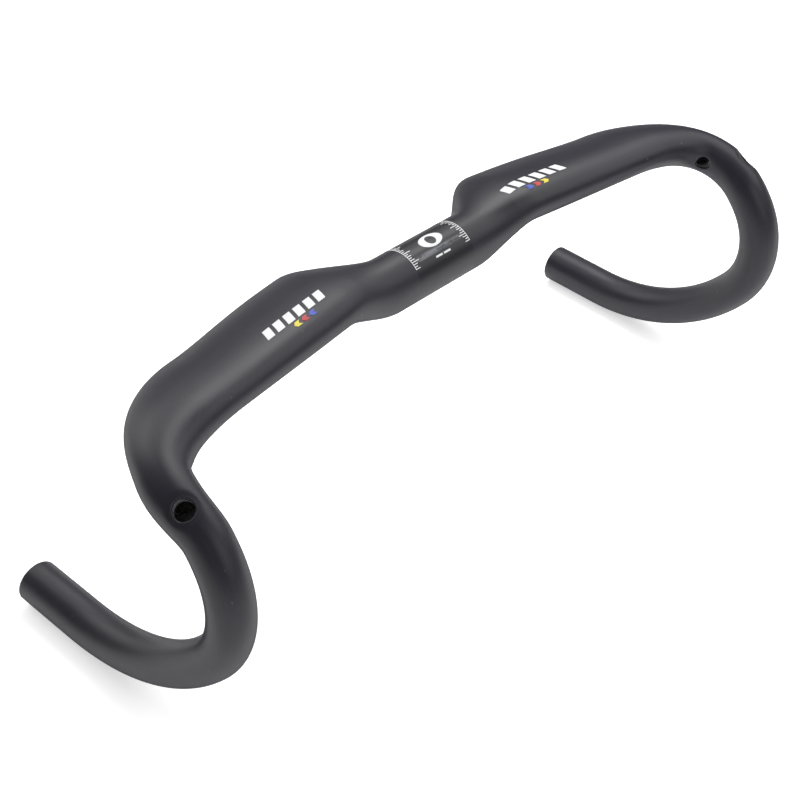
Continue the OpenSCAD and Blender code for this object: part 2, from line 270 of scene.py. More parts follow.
def top_section(t):
    """The hook's top: t runs along the bend from BEND_SPLIT to 1, then on round the seat curve to 2."""
    t = np.asarray(t, float)
    bent = bend_section(np.minimum(t, 1.0))
    seat = seat_section(SEAT_ANGLE * np.maximum(t - 1.0, 0.0))
    joined = []
    for a, b in zip(bent, seat):
        a, b = np.asarray(a, float), np.asarray(b, float)
        first = t <= 1.0
        joined.append(np.where(first[..., None] if a.ndim > first.ndim else first, a, b))
    return Section(*joined)


# ---- Points on the skin ----

def skin_point(c, angle, inset=0.0):
    """The point of a section's outline at an angle from its outer edge, moved inward by inset."""
    flat = clamp01((c.width - c.thickness) / TAPER_RANGE) * TAPER
    u = (c.width / 2 - inset) * np.cos(angle)
    v = (c.thickness / 2 - inset) * np.sin(angle) * (1 - flat * np.cos(angle))
    across = u * np.cos(c.slope) + v * np.sin(c.slope)
    above = v * np.cos(c.slope) - u * np.sin(c.slope)
    return c.middle + c.out * across[..., None] + c.up * above[..., None]


def straightened(c, angle):
    """Where a point would be on a straight bar, so that fibres follow the bar round its bends."""
    return np.stack([c.along + 0 * angle, c.width / 2 * np.cos(angle), c.thickness / 2 * np.sin(angle)], -1)


class Port:
    """A cable port: a round hole along an axis, with a soft lip that the skin dips into."""

    def __init__(self, mount, at, turn, dip, reach):
        self.origin = np.array(mount["pos_m"], float)
        self.axis = unit(np.array(mount["axis"], float))
        self.bore = mount["dims"]["r_mm"] * MM
        self.hole = self.bore + RING_WALL
        self.at, self.turn, self.dip, self.reach = at, turn, dip, reach
        side = FORWARD if abs(self.axis[1]) < 0.7 else np.array([0.0, 0.0, 1.0])
        self.x_axis = unit(side - self.axis * (side @ self.axis))
        self.y_axis = np.cross(self.axis, self.x_axis)

    def flat(self, p):
        """Coordinates across the port's axis."""
        d = p - self.origin
        return d @ self.x_axis, d @ self.y_axis

    def sink(self, p):
        """How far the skin dips towards the hole, smoothly from nothing at the lip's outer edge."""
        x, y = self.flat(p)
        away = np.hypot(x, y)
        facing = (p - self.origin) @ self.axis > -self.hole
        share = ease((self.reach - away) / (self.reach - self.hole)) ** 2
        return self.dip * share * facing


class Skin:
    """One moulded section's surface, with its ports."""

    def __init__(self, section_at, ports=()):
        self.section_at, self.ports = section_at, ports

    def point(self, t, angle, inset=0.0):
        p = skin_point(self.section_at(t), angle, inset)
        for port in self.ports:
            p = p - scaled(port.axis, port.sink(p) if inset == 0 else np.zeros(p.shape[:-1]))
        return p

    def normal(self, t, angle, inset=0.0):
        along = self.point(t + STEP, angle, inset) - self.point(t - STEP, angle, inset)
        around = self.point(t, angle + STEP, inset) - self.point(t, angle - STEP, inset)
        n = unit(np.cross(around, along))
        outward = self.point(t, angle, inset) - self.section_at(t).middle
        return n * np.sign((n * outward).sum(-1, keepdims=True))

    def solve(self, port, x, y, inset=0.0):
        """The (t, angle) of the skin points that lie at (x, y) across a port's axis, by Newton's method."""
        t, angle = np.full_like(x, port.at), np.full_like(x, port.turn)
        for _ in range(NEWTON_STEPS):
            fx, fy = port.flat(self.point(t, angle, inset))
            ax, ay = port.flat(self.point(t + STEP, angle, inset))
            bx, by = port.flat(self.point(t, angle + STEP, inset))
            a, b, c, d = (ax - fx) / STEP, (bx - fx) / STEP, (ay - fy) / STEP, (by - fy) / STEP
            det = a * d - b * c
            ex, ey = x - fx, y - fy
            t = t + (d * ex - b * ey) / det
            angle = angle + (a * ey - c * ex) / det
        return t, angle


# ---- Meshes ----

def face_outward(mesh):
    """Winds every face of a closed surface the same way, outward."""
    work = bmesh.new()
    work.from_mesh(mesh)
    bmesh.ops.recalc_face_normals(work, faces=work.faces)
    work.to_mesh(mesh)
    work.free()


class Builder:
    """Collects the points and faces of one piece."""

    def __init__(self):
        self.points, self.normals, self.guides, self.faces, self.kinds = [], [], [], [], []
        self.count = 0

    def add(self, points, normals, guides):
        points = np.asarray(points).reshape(-1, 3)
        first = self.count
        self.points.append(points)
        self.normals.append(np.asarray(normals).reshape(-1, 3))
        self.guides.append(np.asarray(guides).reshape(-1, 3))
        self.count += len(points)
        return np.arange(first, self.count)

    def face(self, corners, kind):
        self.faces.append([int(c) for c in corners])
        self.kinds.append(kind)

    def band(self, a, b, kind):
        """A ring of faces between two loops of equal length."""
        n = len(a)
        for i in range(n):
            j = (i + 1) % n
            self.face((a[i], a[j], b[j], b[i]), kind)

    def finish(self, name, side, materials, smooth_kinds):
        """Makes the piece's object; the left piece is the mirror image of the right one."""
        points, normals = np.concatenate(self.points), np.concatenate(self.normals)
        guides = np.concatenate(self.guides)
        used = np.unique(np.concatenate([np.array(f) for f in self.faces]))
        place = np.full(len(points), -1)
        place[used] = np.arange(len(used))
        faces = [[int(place[c]) for c in f] for f in self.faces]
        points, normals, guides = points[used], normals[used], guides[used]
        if side == "left":
            mirror = np.array([-1.0, 1.0, 1.0])
            points, normals, guides = points * mirror, normals * mirror, guides * mirror
        mesh = bpy.data.meshes.new(name)
        mesh.from_pydata(points.tolist(), [], faces)
        mesh.update()
        guide = mesh.attributes.new("guide", "FLOAT_VECTOR", "POINT")
        guide.data.foreach_set("vector", guides.astype(np.float32).ravel())
        for material in materials:
            mesh.materials.append(material)
        slots = [MATERIAL_OF_KIND[kind] for kind in self.kinds]
        mesh.polygons.foreach_set("material_index", np.array(slots, np.int32))
        mesh.polygons.foreach_set("use_smooth", np.ones(len(faces), bool))
        face_outward(mesh)
        mesh.set_sharp_from_angle(angle=SHARP_ANGLE)
        corner_normals = np.zeros((len(mesh.loops), 3))
        for polygon, kind in zip(mesh.polygons, self.kinds):
            if kind in smooth_kinds:
                for loop in polygon.loop_indices:
                    corner_normals[loop] = normals[mesh.loops[loop].vertex_index]
        mesh.normals_split_custom_set(corner_normals.tolist())
        piece = bpy.data.objects.new(name, mesh)
        bpy.context.scene.collection.objects.link(piece)
        return piece


OUTSIDE, INSIDE, CUT, RIM = range(4)
MATERIAL_OF_KIND = {OUTSIDE: 0, INSIDE: 1, CUT: 2, RIM: 1}
PATCH_SHARES = (0.22, 0.42, 0.6, 0.75, 0.87, 0.95, 1.0)


class Block:
    """The grid cells that a port's patch replaces, and the directions of their edge from the port's axis."""

    def __init__(self, skin, port, cuts):
        t, angle = np.meshgrid(cuts, ANGLES, indexing="ij")
        x, y = port.flat(skin.point(t, angle))
        facing = (skin.normal(t, angle) @ port.axis) > PATCH_FACING
        near = (np.hypot(x, y) < port.reach) & facing
        rows, columns = np.where(near.any(1))[0], np.where(near.any(0))[0]
        middle = int(round(port.turn / (2 * math.pi) * AROUND))
        spread = max(abs((i - middle + AROUND // 2) % AROUND - AROUND // 2) for i in columns)
        self.k0, self.k1 = rows[0] - 1, rows[-1] + 1
        self.i0, self.i1 = middle - spread - 1, middle + spread + 1
        loop = self.loop()
        self.heading = np.array([math.atan2(y[k, i], x[k, i]) for k, i in loop])

    def loop(self):
        """The grid places round the block's edge, in order."""
        lower = [(self.k0, i) for i in range(self.i0, self.i1)]
        right = [(k, self.i1) for k in range(self.k0, self.k1)]
        upper = [(self.k1, i) for i in range(self.i1, self.i0, -1)]
        left = [(k, self.i0) for k in range(self.k1, self.k0, -1)]
        return [(k, i % AROUND) for k, i in lower + right + upper + left]

    def holds(self, k, i):
        return self.k0 <= k < self.k1 and (i - self.i0) % AROUND < self.i1 - self.i0


def port_patch(builder, skin, port, block, grid, inset, kind, facing_out):
    """Rings of faces that lead from a block's edge to the port's round hole. Returns the hole's loop."""
    previous = np.array([grid[k, i] for k, i in block.loop()])
    x, y = port.flat(np.concatenate(builder.points)[previous])
    for share in PATCH_SHARES:
        px = mix(x, port.hole * np.cos(block.heading), share)
        py = mix(y, port.hole * np.sin(block.heading), share)
        t, angle = skin.solve(port, px, py, inset)
        ring = builder.add(skin.point(t, angle, inset), facing_out * skin.normal(t, angle, inset),
                           straightened(skin.section_at(t), angle))
        builder.band(previous, ring, kind)
        previous = ring
    return previous


def skin_layer(builder, skin, cuts, blocks, inset, kind, facing_out):
    """One layer of a shell, with a round hole at each port. Returns its two end loops and its holes."""
    t, angle = np.meshgrid(cuts, ANGLES, indexing="ij")
    guides = straightened(skin.section_at(t), angle)
    places = builder.add(skin.point(t, angle, inset), facing_out * skin.normal(t, angle, inset), guides)
    grid = places.reshape(len(cuts), AROUND)
    for k in range(len(cuts) - 1):
        for i in range(AROUND):
            if not any(block.holds(k, i) for block in blocks):
                j = (i + 1) % AROUND
                builder.face((grid[k, i], grid[k, j], grid[k + 1, j], grid[k + 1, i]), kind)
    holes = [port_patch(builder, skin, port, block, grid, inset, kind, facing_out)
             for port, block in zip(skin.ports, blocks)]
    return grid[0], grid[-1], holes


def shell(name, side, skin, cuts):
    """A hollow moulded section: an outer and an inner layer, joined at both ends and at each port."""
    builder = Builder()
    blocks = [Block(skin, port, cuts) for port in skin.ports]
    first, last, holes = skin_layer(builder, skin, cuts, blocks, 0.0, OUTSIDE, 1.0)
    inner_first, inner_last, inner_holes = skin_layer(builder, skin, cuts, blocks, WALL, INSIDE, -1.0)
    builder.band(first, inner_first, RIM)
    builder.band(last, inner_last, RIM)
    for hole, inner_hole in zip(holes, inner_holes):
        builder.band(hole, inner_hole, RIM)
    return builder.finish(name, side, [carbon_skin, raw_inside_painted_bright], {OUTSIDE, INSIDE})


# ---- Materials ----
# Each is a node tree on object coordinates or on the guide attribute, which is the point's place on a
# straightened bar.

def node_tree(name):
    material = bpy.data.materials.new(name)
    material.use_nodes = True
    return material, material.node_tree.nodes, material.node_tree.links


def noise(nodes, links, vector, scale, stretch=(1, 1, 1), detail=4.0, roughness=0.55):
    mapping = nodes.new("ShaderNodeMapping")
    mapping.inputs["Scale"].default_value = stretch
    links.new(vector, mapping.inputs["Vector"])
    texture = nodes.new("ShaderNodeTexNoise")
    texture.inputs["Scale"].default_value = scale
    texture.inputs["Detail"].default_value = detail
    texture.inputs["Roughness"].default_value = roughness
    links.new(mapping.outputs["Vector"], texture.inputs["Vector"])
    return texture.outputs["Fac"]


def span(nodes, links, value, low, high, out_low=0.0, out_high=1.0):
    node = nodes.new("ShaderNodeMapRange")
    node.interpolation_type = "SMOOTHSTEP"
    links.new(value, node.inputs["Value"])
    for key, number in (("From Min", low), ("From Max", high), ("To Min", out_low), ("To Max", out_high)):
        node.inputs[key].default_value = number
    return node.outputs["Result"]


def sums(nodes, links, operation, a, b):
    node = nodes.new("ShaderNodeMath")
    node.operation = operation
    for socket, value in zip(node.inputs, (a, b)):
        if isinstance(value, (int, float)):
            socket.default_value = value
        else:
            links.new(value, socket)
    return node.outputs["Value"]


def blend_colours(nodes, links, factor, a, b):
    node = nodes.new("ShaderNodeMix")
    node.data_type = "RGBA"
    links.new(factor, node.inputs["Factor"])
    for key, value in (("A", a), ("B", b)):
        socket = [s for s in node.inputs if s.name == key and s.type == "RGBA"][0]
        if isinstance(value, tuple):
            socket.default_value = (*value, 1.0)
        else:
            links.new(value, socket)
    return [s for s in node.outputs if s.type == "RGBA"][0]


def bump(nodes, links, height, strength, distance, under=None):
    node = nodes.new("ShaderNodeBump")
    node.inputs["Strength"].default_value = strength
    node.inputs["Distance"].default_value = distance
    links.new(height, node.inputs["Height"])
    if under is not None:
        links.new(under, node.inputs["Normal"])
    return node.outputs["Normal"]


def edge_dimmed(nodes, links, level):
    """A specular level that falls towards edge-on faces, so that the pale floor leaves only a soft rim."""
    weight = nodes.new("ShaderNodeLayerWeight")
    weight.inputs["Blend"].default_value = 0.5
    return span(nodes, links, weight.outputs["Facing"], 0.42, 0.85, level, EDGE_SPECULAR)


def guide_vector(nodes):
    node = nodes.new("ShaderNodeAttribute")
    node.attribute_name = "guide"
    return node.outputs["Vector"]


def object_vector(nodes):
    return nodes.new("ShaderNodeTexCoord").outputs["Object"]


CARBON_DARK, CARBON_LIGHT = (0.0075, 0.0070, 0.0140), (0.0150, 0.0143, 0.0230)
CARBON_ROUGHNESS = (0.35, 0.41)
CARBON_SPECULAR, FILM_SPECULAR, EDGE_SPECULAR = 0.42, 0.38, 0.02


def carbon_material():
    """Satin unidirectional carbon: faint fibre streaks, cloudy patches, fine coat texture and specks."""
    material, nodes, links = node_tree("matte_carbon")
    shader = nodes["Principled BSDF"]
    vector = guide_vector(nodes)
    fibres = noise(nodes, links, vector, 900, (0.05, 1, 1), 3)
    bundles = noise(nodes, links, vector, 160, (0.12, 1, 1), 3)
    clouds = noise(nodes, links, vector, 28, (0.6, 1, 1), 5)
    grain = noise(nodes, links, vector, 2600, (1, 1, 1), 2)
    specks = noise(nodes, links, vector, 420, (1, 1, 1), 0)
    streaks = sums(nodes, links, "ADD", sums(nodes, links, "MULTIPLY", fibres, 0.45),
                   sums(nodes, links, "MULTIPLY", bundles, 0.55))
    tone = sums(nodes, links, "ADD", sums(nodes, links, "MULTIPLY", streaks, 0.6),
                sums(nodes, links, "MULTIPLY", clouds, 0.4))
    colour = blend_colours(nodes, links, span(nodes, links, tone, 0.36, 0.66), CARBON_DARK, CARBON_LIGHT)
    dust = span(nodes, links, specks, 0.84, 0.90, 0.0, 0.35)
    colour = blend_colours(nodes, links, dust, colour, (0.09, 0.09, 0.09))
    links.new(colour, shader.inputs["Base Color"])
    roughness = span(nodes, links, clouds, 0.3, 0.7, *CARBON_ROUGHNESS)
    roughness = sums(nodes, links, "ADD", roughness, sums(nodes, links, "MULTIPLY", streaks, 0.05))
    links.new(roughness, shader.inputs["Roughness"])
    coat = bump(nodes, links, grain, 0.35, 0.00003)
    coat = bump(nodes, links, streaks, 0.3, 0.00005, coat)
    links.new(coat, shader.inputs["Normal"])
    links.new(edge_dimmed(nodes, links, CARBON_SPECULAR), shader.inputs["Specular IOR Level"])
    return material


def raw_material():
    """The unpainted inside of a moulding: glossy resin with the wrinkles of the bladder it was moulded on, in
    pale greys far lighter than dark resin, as painted light that brightens the bore seen through a port.
    """
    material, nodes, links = node_tree("raw_inside_painted_bright")
    shader = nodes["Principled BSDF"]
    vector = guide_vector(nodes)
    wrinkles = noise(nodes, links, vector, 260, (0.5, 1, 1), 5, 0.7)
    weave = noise(nodes, links, vector, 1200, (0.1, 1, 1), 2)
    # Pale greys: painted light, standing in for the light that barely reaches the inside of the bar.
    colour = blend_colours(nodes, links, span(nodes, links, weave, 0.3, 0.7),
                           (0.12, 0.12, 0.13), (0.26, 0.26, 0.27))
    links.new(colour, shader.inputs["Base Color"])
    links.new(span(nodes, links, wrinkles, 0.3, 0.7, 0.24, 0.5), shader.inputs["Roughness"])
    links.new(bump(nodes, links, wrinkles, 0.6, 0.0006), shader.inputs["Normal"])
    return material


def cut_material():
    """The sawn face of a grip end: thin rings of laid-up carbon."""
    material, nodes, links = node_tree("cut_edge")
    shader = nodes["Principled BSDF"]
    vector = guide_vector(nodes)
    split = nodes.new("ShaderNodeSeparateXYZ")
    links.new(vector, split.inputs["Vector"])
    across = sums(nodes, links, "SQRT", sums(nodes, links, "ADD",
                  sums(nodes, links, "MULTIPLY", split.outputs["Y"], split.outputs["Y"]),
                  sums(nodes, links, "MULTIPLY", split.outputs["Z"], split.outputs["Z"])), 0.0)
    wander = noise(nodes, links, vector, 300, (1, 1, 1), 2)
    radius = sums(nodes, links, "ADD", across, sums(nodes, links, "MULTIPLY", wander, 0.00025))
    plies = sums(nodes, links, "SINE", sums(nodes, links, "MULTIPLY", radius, 2 * math.pi / 0.00022), 0.0)
    grain = noise(nodes, links, vector, 2400, (1, 1, 1), 3)
    tone = sums(nodes, links, "ADD", sums(nodes, links, "MULTIPLY", plies, 0.3), grain)
    colour = blend_colours(nodes, links, span(nodes, links, tone, 0.2, 0.9),
                           (0.012, 0.012, 0.013), (0.05, 0.05, 0.052))
    links.new(colour, shader.inputs["Base Color"])
    shader.inputs["Roughness"].default_value = 0.6
    links.new(bump(nodes, links, tone, 0.4, 0.00005), shader.inputs["Normal"])
    return material


def film_material():
    """Glossy clear-coated film, with a painted highlight: a paler, rougher streak along it, 30 degrees
    forward of its top, fading out towards its ends.
    """
    material, nodes, links = node_tree("gloss_film")
    shader = nodes["Principled BSDF"]
    vector = object_vector(nodes)
    split = nodes.new("ShaderNodeSeparateXYZ")
    links.new(vector, split.inputs["Vector"])
    angle = sums(nodes, links, "ARCTAN2", split.outputs["Y"], split.outputs["Z"])
    off = sums(nodes, links, "ABSOLUTE", sums(nodes, links, "SUBTRACT", angle, math.radians(30)), 0.0)
    # The painted highlight's band, 30 degrees forward of the film's top.
    streak = span(nodes, links, off, math.radians(2), math.radians(8), 1.0, 0.0)
    reach = sums(nodes, links, "ABSOLUTE", split.outputs["X"], 0.0)
    ends = span(nodes, links, reach, 0.013, 0.021, 1.0, 0.0)
    highlight_patches = span(nodes, links, noise(nodes, links, vector, 260, (0.45, 1, 1), 5, 0.7), 0.30, 0.62)
    highlight_lines = span(nodes, links, noise(nodes, links, vector, 900, (0.08, 1, 1), 3), 0.42, 0.7)
    # Painted highlight: this mask lightens and roughens the film in a streak broken up by noise, where a
    # lamp's reflection runs along it.
    painted_highlight = sums(nodes, links, "MULTIPLY", sums(nodes, links, "MULTIPLY", streak, ends),
                 sums(nodes, links, "ADD", sums(nodes, links, "MULTIPLY", highlight_patches, 0.7),
                      sums(nodes, links, "MULTIPLY", highlight_lines, 0.3)))
    colour = blend_colours(nodes, links, painted_highlight, (0.009, 0.009, 0.014), (0.25, 0.25, 0.28))
    links.new(colour, shader.inputs["Base Color"])
    links.new(span(nodes, links, painted_highlight, 0.0, 1.0, 0.34, 0.6), shader.inputs["Roughness"])
    links.new(edge_dimmed(nodes, links, FILM_SPECULAR), shader.inputs["Specular IOR Level"])
    fine = noise(nodes, links, vector, 1500, (0.3, 1, 1), 3)
    relief = sums(nodes, links, "ADD", fine, painted_highlight)
    links.new(bump(nodes, links, relief, 0.25, 0.00004), shader.inputs["Normal"])
    return material


def print_material(name, colour, worn):
    """A thin printed transfer: slightly uneven ink with worn pinholes."""
    material, nodes, links = node_tree(name)
    shader = nodes["Principled BSDF"]
    vector = object_vector(nodes)
    blotches = noise(nodes, links, vector, 700, (1, 1, 1), 4)
    pores = noise(nodes, links, vector, 2600, (1, 1, 1), 1)
    tone = blend_colours(nodes, links, span(nodes, links, blotches, 0.35, 0.7),
                         tuple(0.9 * c for c in colour), colour)
    tone = blend_colours(nodes, links, span(nodes, links, pores, 0.72, 0.80, 0.0, 0.55), tone, worn)
    links.new(tone, shader.inputs["Base Color"])
    links.new(span(nodes, links, blotches, 0.3, 0.7, 0.42, 0.58), shader.inputs["Roughness"])
    links.new(bump(nodes, links, blotches, 0.2, 0.00003), shader.inputs["Normal"])
    return material


def rubber_material():
    """Soft black rubber with a bloom of fine dust."""
    material, nodes, links = node_tree("grommet_rubber")
    shader = nodes["Principled BSDF"]
    vector = object_vector(nodes)
    bloom = noise(nodes, links, vector, 500, (1, 1, 1), 5)
    grain = noise(nodes, links, vector, 3000, (1, 1, 1), 2)
    colour = blend_colours(nodes, links, span(nodes, links, bloom, 0.35, 0.7),
                           (0.012, 0.012, 0.012), (0.028, 0.028, 0.027))
    links.new(colour, shader.inputs["Base Color"])
    links.new(span(nodes, links, bloom, 0.3, 0.7, 0.6, 0.8), shader.inputs["Roughness"])
    links.new(bump(nodes, links, grain, 0.4, 0.00005), shader.inputs["Normal"])
    return material


def bonded_material():
    """Raw glass and carbon composite, sanded crosswise for bonding."""
    material, nodes, links = node_tree("bonded_composite")
    shader = nodes["Principled BSDF"]
    vector = object_vector(nodes)
    along = noise(nodes, links, vector, 800, (0.06, 1, 1), 3)
    across = noise(nodes, links, vector, 800, (1, 0.06, 1), 3)
    cloth = sums(nodes, links, "ADD", along, across)
    blobs = noise(nodes, links, vector, 120, (1, 1, 1), 4)
    colour = blend_colours(nodes, links, span(nodes, links, cloth, 0.8, 1.2),
                           (0.05, 0.05, 0.045), (0.20, 0.20, 0.17))
    resin = span(nodes, links, blobs, 0.6, 0.7, 0.0, 0.6)
    colour = blend_colours(nodes, links, resin, colour, (0.30, 0.27, 0.16))
    links.new(colour, shader.inputs["Base Color"])
    links.new(span(nodes, links, cloth, 0.8, 1.2, 0.5, 0.75), shader.inputs["Roughness"])
    links.new(bump(nodes, links, cloth, 0.5, 0.00008), shader.inputs["Normal"])
    return material


carbon_skin = carbon_material()
raw_inside_painted_bright = raw_material()
cut_edge = cut_material()
gloss_film = film_material()
grommet_rubber = rubber_material()
bonded_composite = bonded_material()
dark_print = print_material("dark_print", (0.02, 0.02, 0.023), (0.05, 0.05, 0.05))
white_print = print_material("white_print", (0.86, 0.86, 0.87), (0.45, 0.45, 0.46))
yellow_print = print_material("yellow_print", (0.80, 0.68, 0.05), (0.45, 0.38, 0.05))
red_print = print_material("red_print", (0.52, 0.03, 0.04), (0.30, 0.03, 0.03))
blue_print = print_material("blue_print", (0.05, 0.09, 0.52), (0.04, 0.06, 0.30))


# ---- Pieces ----

def stand_for(piece, node):
    """piece takes a CAD node's place in the picture."""
    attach(piece, "root")
    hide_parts(node)


def port(kind, side_turn, at, dip, reach):
    return Port(mounts[kind + "_right"], at, side_turn, dip * MM, reach * MM)


PORTS = {
    "outer": port("outer_port", math.radians(65), 0.75, 0.6, 10.0),
    "inner": port("inner_port", math.radians(186), 0.45, 0.25, 8.5),
    "exit": port("exit_port", math.radians(270), 60 * MM, 0.0, 6.6),
}
# A port's lip, from the skin to the bore: the share of the way in and the depth below the skin in millimetres
LIP_PROFILE = ((0.0, 0.0), (0.17, 0.02), (0.34, 0.08), (0.5, 0.17), (0.64, 0.3), (0.77, 0.46),
               (0.87, 0.65), (0.94, 0.86), (0.98, 1.08), (1.0, 1.3))
SKINS = {
    "wing": Skin(wing_section, [PORTS["exit"]]),
    "bend": Skin(bend_section, [PORTS["inner"]]),
    "hook_top": Skin(top_section, [PORTS["outer"]]),
    "hook_front": Skin(arc_section(FRONT_STOP, FRONT_R, FRONT_ALONG)),
    "hook_lower": Skin(arc_section(LOWER_STOP, LOWER_R, LOWER_ALONG)),
}
CUTS = {
    "wing": np.linspace(CLAMP_HALF, WING_END_X, 90),
    "bend": np.linspace(0.0, BEND_SPLIT, 44),
    "hook_top": np.concatenate([np.linspace(BEND_SPLIT, 1.0, 33), np.linspace(1.0, 2.0, 11)[1:]]),
    "hook_front": np.linspace(0.0, FRONT_ANGLE, 44),
    "hook_lower": np.linspace(0.0, LOWER_ANGLE, 60),
}


def swept_sections():
    for side in ("right", "left"):
        for name, skin in SKINS.items():
            node = f"{name}_{side}"
            stand_for(shell(node + "_skin", side, skin, CUTS[name]), node)


def revolve(builder, rings, kinds, section_at):
    """Joins rings of (distance along, radius) round a straight section into a closed surface."""
    loops = []
    for distance, radius in rings:
        c = section_at(np.full(AROUND, distance))
        spokes = c.out * np.cos(ANGLES)[:, None] + c.up * np.sin(ANGLES)[:, None]
        guide = np.stack([c.along, radius * np.cos(ANGLES), radius * np.sin(ANGLES)], -1)
        loops.append(builder.add(c.middle + radius * spokes, spokes, guide))
    for a, b, kind in zip(loops, loops[1:] + loops[:1], kinds):
        builder.band(a, b, kind)


def arc_rings(distance, radius, size, start, stop, count):
    """A rounded corner of a profile: (distance, radius) pairs on an arc about a centre."""
    turns = [mix(start, stop, i / count) for i in range(count + 1)]
    return [(distance + size * math.cos(t), radius + size * math.sin(t)) for t in turns]


def grip_end(side):
    """The straight end: a square-cut tube with a rounded outer edge and a small inner chamfer."""
    edge, chamfer = 0.8 * MM, 0.25 * MM
    lip = GRIP_LENGTH - edge
    outside = [(mix(0.0, lip, i / 12), TUBE_R) for i in range(12)]
    outside += arc_rings(lip, TUBE_R - edge, edge, math.pi / 2, 0.0, 8)
    face = [(GRIP_LENGTH, BORE_R + chamfer), (GRIP_LENGTH - chamfer, BORE_R)]
    inside = [(GRIP_SOCKET, BORE_R), (GRIP_SOCKET, GRIP_SOCKET_R), (0.0, GRIP_SOCKET_R)]
    kinds = [OUTSIDE] * (len(outside) - 1) + [CUT, CUT] + [INSIDE] * 4
    builder = Builder()
    revolve(builder, outside + face + inside, kinds, grip_section)
    name = f"grip_end_{side}"
    piece = builder.finish(name + "_skin", side, [carbon_skin, raw_inside_painted_bright, cut_edge], set())
    stand_for(piece, name)


def clamp_zone():
    """The round clamp tube with its recess, and the film that lies in it."""
    low = CLAMP_R - FILM_THICK
    tube = Builder()
    steps = [(x, CLAMP_R) for x in np.linspace(-CLAMP_HALF, -FILM_HALF, 8)]
    steps += [(-FILM_HALF, low), (FILM_HALF, low)]
    steps += [(x, CLAMP_R) for x in np.linspace(FILM_HALF, CLAMP_HALF, 8)]
    steps += [(CLAMP_HALF, CLAMP_BORE_R), (-CLAMP_HALF, CLAMP_BORE_R)]
    revolve(tube, steps, [OUTSIDE] * (len(steps) - 3) + [INSIDE] * 3, wing_section)
    piece = tube.finish("clamp_tube_skin", "right", [carbon_skin, raw_inside_painted_bright], set())
    stand_for(piece, "clamp_tube")
    film = Builder()
    steps = [(x, CLAMP_R) for x in np.linspace(-FILM_HALF, FILM_HALF, 23)]
    steps += [(FILM_HALF, low), (-FILM_HALF, low)]
    revolve(film, steps, [OUTSIDE] * len(steps), wing_section)
    piece = film.finish("clamp_film_band", "right", [gloss_film], set())
    stand_for(piece, "clamp_film")


def port_lip(name, side, skin, port):
    """The ring that lines a port: its top follows the skin and rounds over into the bore."""
    heading = np.arange(LIP_AROUND) * 2 * math.pi / LIP_AROUND
    inward = -(scaled(port.x_axis, np.cos(heading)) + scaled(port.y_axis, np.sin(heading)))
    builder = Builder()
    loops = []
    radii = mix(port.hole, port.bore, np.array([share for share, _ in LIP_PROFILE]))
    drops = np.array([drop for _, drop in LIP_PROFILE]) * MM
    narrowing, falling = -np.gradient(radii), np.gradient(drops)
    for radius, drop, level, steep in zip(radii, drops, narrowing, falling):
        t, angle = skin.solve(port, radius * np.cos(heading), radius * np.sin(heading))
        points = skin.point(t, angle) - scaled(port.axis, np.full(LIP_AROUND, drop))
        normals = unit(skin.normal(t, angle) * level + inward * steep)
        loops.append(builder.add(points, normals, straightened(skin.section_at(t), angle)))
    base = port.origin - port.axis * mounts[port_mount(name)]["dims"]["length_mm"] * MM / 2
    for radius in (port.bore, port.hole):
        rim = -inward * radius
        loops.append(builder.add(base + rim, rim, rim))
    kinds = [OUTSIDE] * (len(LIP_PROFILE) - 1) + [INSIDE] * 3
    for a, b, kind in zip(loops, loops[1:] + loops[:1], kinds):
        builder.band(a, b, kind)
    piece = builder.finish(f"{name}_{side}_lip", side, [carbon_skin, raw_inside_painted_bright], {OUTSIDE})
    stand_for(piece, f"{name}_{side}")


def port_mount(name):
    return name.replace("_ring", "") + "_right"


def finish_node(node, material):
    """A CAD node that stays as it is, with a better material."""
    piece = frame["nodes"][node]
    piece.data.materials.clear()
    piece.data.materials.append(material)


def kept_nodes():
    finishes = {"clamp_sleeve": bonded_composite, "centre_badge": white_print, "badge_ring": dark_print,
                "index_bars": white_print}
    for side in ("right", "left"):
        for name in ("wing_spigot", "bend_spigot", "hook_spigot", "lower_spigot", "grip_spigot"):
            finishes[f"{name}_{side}"] = bonded_composite
        finishes[f"angle_scale_{side}"] = white_print
        finishes[f"wing_stripes_{side}"] = white_print
        finishes[f"yellow_chevron_{side}"] = yellow_print
        finishes[f"red_chevron_{side}"] = red_print
        finishes[f"blue_chevron_{side}"] = blue_print
        finishes[f"exit_grommet_{side}"] = grommet_rubber
    for node, material in finishes.items():
        finish_node(node, material)


# ---- Studio ----

WORLD_LIGHT = 0.28
# The floor's own light, near the bar and far from it, and the distances in metres between which it fades
FLOOR_GLOW, FLOOR_GLOW_FAR = 0.55, 0.1
FLOOR_FADE = (0.7, 7.0)
FLOOR_SIZE = 12.0
LIGHTS_CENTRE, LIGHTS_DISTANCE = (0, 0.02, -0.05), 1.5
# Azimuth and elevation in degrees, size in metres, power in watts
LIGHTS = {
    "overhead": (309, 62, 0.8, 10.5),
    "left_side": (234, 42, 0.9, 4.8),
    "left_rear": (279, 42, 0.9, 4.2),
    "rear": (325, 40, 0.9, 2.4),
    "right_rear": (8, 42, 0.9, 4.8),
    "right_low": (12, 20, 0.9, 3.0),
    "front": (178, 32, 0.9, 3.4),
}


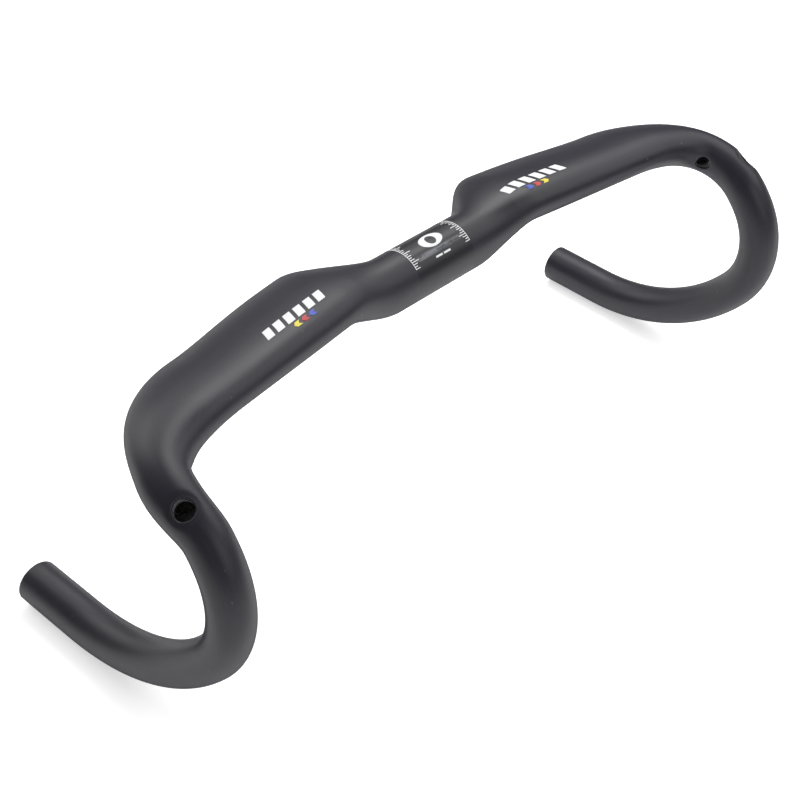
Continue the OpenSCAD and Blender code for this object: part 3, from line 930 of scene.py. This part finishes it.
def floor_plane():
    """A plain pale floor at the bar's lowest point, which glows a little so that it stays white."""
    mesh = bpy.data.meshes.new("studio_floor")
    low = cad_box[0].z
    corners = [(x * FLOOR_SIZE, y * FLOOR_SIZE, low) for x, y in ((-1, -1), (1, -1), (1, 1), (-1, 1))]
    mesh.from_pydata(corners, [], [(0, 1, 2, 3)])
    material, nodes, links = node_tree("studio_paper")
    shader = nodes["Principled BSDF"]
    paper = noise(nodes, links, object_vector(nodes), 60, (1, 1, 1), 3)
    colour = blend_colours(nodes, links, paper, (0.93, 0.93, 0.93), (0.95, 0.95, 0.95))
    links.new(colour, shader.inputs["Base Color"])
    shader.inputs["Roughness"].default_value = 0.9
    shader.inputs["Specular IOR Level"].default_value = 0.1
    shader.inputs["Emission Color"].default_value = (1.0, 1.0, 1.0, 1.0)
    distance = nodes.new("ShaderNodeVectorMath")
    distance.operation = "LENGTH"
    links.new(object_vector(nodes), distance.inputs[0])
    glow = span(nodes, links, distance.outputs["Value"], *FLOOR_FADE, FLOOR_GLOW, FLOOR_GLOW_FAR)
    links.new(glow, shader.inputs["Emission Strength"])
    mesh.materials.append(material)
    floor = bpy.data.objects.new("studio_floor", mesh)
    bpy.context.scene.collection.objects.link(floor)


def soft_light(name, azimuth, elevation, size, power):
    """A square softbox on a sphere round the bar, facing its middle."""
    data = bpy.data.lights.new(name, "AREA")
    data.size, data.energy = size, power
    light = bpy.data.objects.new(name, data)
    bpy.context.scene.collection.objects.link(light)
    a, e = math.radians(azimuth), math.radians(elevation)
    away = Vector((math.sin(a) * math.cos(e), -math.cos(a) * math.cos(e), math.sin(e)))
    light.location = Vector(LIGHTS_CENTRE) + away * LIGHTS_DISTANCE
    light.rotation_euler = away.to_track_quat("Z", "Y").to_euler()


def studio():
    world = bpy.data.worlds.new("studio")
    bpy.context.scene.world = world
    world.use_nodes = True
    world.node_tree.nodes["Background"].inputs["Color"].default_value = (1.0, 1.0, 1.0, 1.0)
    world.node_tree.nodes["Background"].inputs["Strength"].default_value = WORLD_LIGHT
    for name, numbers in LIGHTS.items():
        soft_light(name, *numbers)
    bpy.context.scene.view_settings.view_transform = "Standard"


def camera():
    """The viewing angle of a product shot: in front, to the rider's right and above, leaning slightly."""
    azimuth, elevation, lean = math.radians(129.4), math.radians(38.8), math.radians(4.8)
    distance, aim = 0.8574, Vector((0.0419, 0.0243, -0.0579))
    back = Vector((math.sin(azimuth) * math.cos(elevation), -math.cos(azimuth) * math.cos(elevation),
                   math.sin(elevation)))
    right = Vector((math.cos(azimuth), math.sin(azimuth), 0))
    up = back.cross(right)
    right, up = (right * math.cos(lean) + up * math.sin(lean), up * math.cos(lean) - right * math.sin(lean))
    data = bpy.data.cameras.new("camera")
    data.lens, data.sensor_width = 71.34, 36.0
    data.clip_start, data.clip_end = 0.05, 20.0
    cam = bpy.data.objects.new("camera", data)
    bpy.context.scene.collection.objects.link(cam)
    turn = Matrix((right, up, back)).transposed().to_4x4()
    cam.matrix_world = Matrix.Translation(aim + back * distance) @ turn
    bpy.context.scene.camera = cam


swept_sections()
clamp_zone()
for side in ("right", "left"):
    grip_end(side)
    port_lip("outer_port_ring", side, SKINS["hook_top"], PORTS["outer"])
    port_lip("inner_port_ring", side, SKINS["bend"], PORTS["inner"])
kept_nodes()
floor_plane()
studio()
camera()
